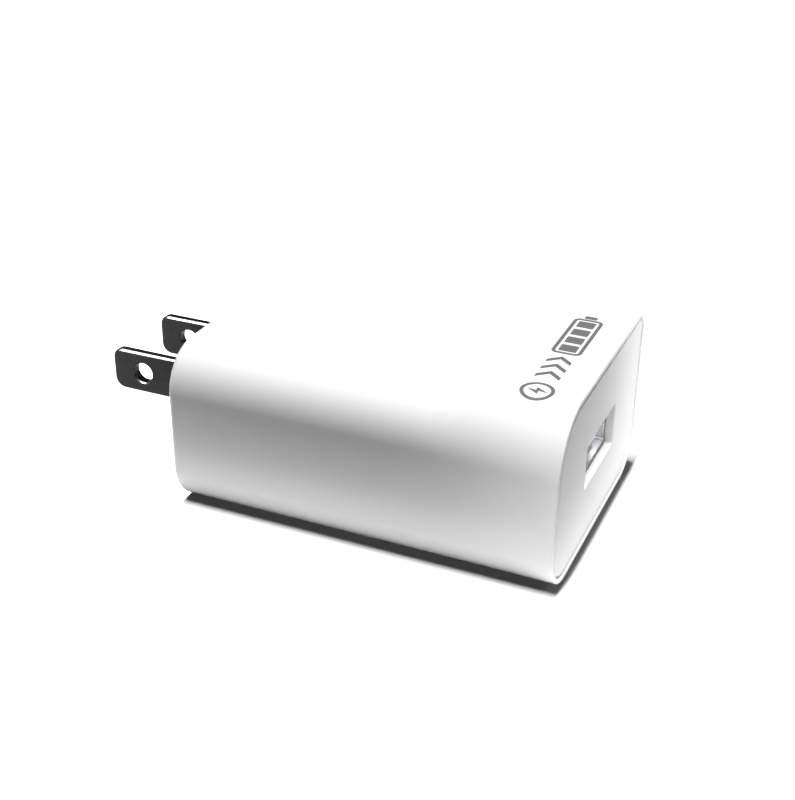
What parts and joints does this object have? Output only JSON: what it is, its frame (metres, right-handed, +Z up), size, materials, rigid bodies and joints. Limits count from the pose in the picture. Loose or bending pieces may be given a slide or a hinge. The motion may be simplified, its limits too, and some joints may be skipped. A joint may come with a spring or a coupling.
{
  "type": "usb wall charger",
  "caption": "White rounded-box wall charger with two flat plug blades at one end and a USB-A socket in an inset cover at the other, with its circuit inside.",
  "frame": {"origin": "on the plug face, midway between the two blades at their mid-height", "axes": "+X from the wall towards the USB end, +Z up when the charger lies on its base, so the blades are 12.7 mm apart along Y"},
  "size_m": [0.0717, 0.0392, 0.0249],
  "materials": {
    "housing_plastic": "white glossy moulding",
    "cover_plastic": "white glossy moulding",
    "blade_metal": "dark nickel plating on stamped brass",
    "socket_steel": "bright nickel plating on folded sheet",
    "socket_resin": "white moulded insulator",
    "contact_gold": "gold-flashed contact strip",
    "contact_brass": "rolled spring strip",
    "board_laminate": "green solder mask on glass-epoxy laminate",
    "resistor_coat": "painted ceramic body",
    "package_resin": "black moulded resin",
    "can_aluminium": "drawn can",
    "sleeve_film": "shrunk film",
    "ferrite": "ground ferrite",
    "copper_wire": "enamelled copper wire",
    "tape_film": "yellow polyester tape",
    "tinned_wire": "tinned wire",
    "solder": "bright solder",
    "disc_epoxy": "blue dipped epoxy",
    "chip_dark": "glazed chip",
    "chip_tan": "fired chip",
    "fibre_card": "pressed fibre card",
    "mark_ink": "grey printed ink"
  },
  "bodies": {
    "root": {"housing": "housing_plastic", "front_cover": "cover_plastic", "line_blade": "blade_metal", "neutral_blade": "blade_metal", "usb_shell": "socket_steel", "usb_tongue": "socket_resin", "usb_contact_1": "contact_gold", "usb_contact_2": "contact_gold", "usb_contact_3": "contact_gold", "usb_contact_4": "contact_gold", "line_contact": "contact_brass", "neutral_contact": "contact_brass", "main_board": "board_laminate", "fusible_resistor": "resistor_coat", "bridge_rectifier": "package_resin", "input_capacitor_1": "can_aluminium", "input_capacitor_2": "can_aluminium", "output_capacitor_1": "can_aluminium", "output_capacitor_2": "can_aluminium", "capacitor_sleeves": "sleeve_film", "choke_core": "ferrite", "choke_winding": "copper_wire", "transformer_core_primary": "ferrite", "transformer_core_secondary": "ferrite", "transformer_bobbin": "package_resin", "transformer_winding": "copper_wire", "transformer_tape": "tape_film", "transformer_pins": "tinned_wire", "controller_ic": "package_resin", "optocoupler": "package_resin", "y_capacitor": "disc_epoxy", "output_diode": "package_resin", "chip_resistors": "chip_dark", "chip_capacitors": "chip_tan", "component_leads": "tinned_wire", "solder_joints": "solder", "insulating_sheet": "fibre_card"}
  },
  "joints": []
}
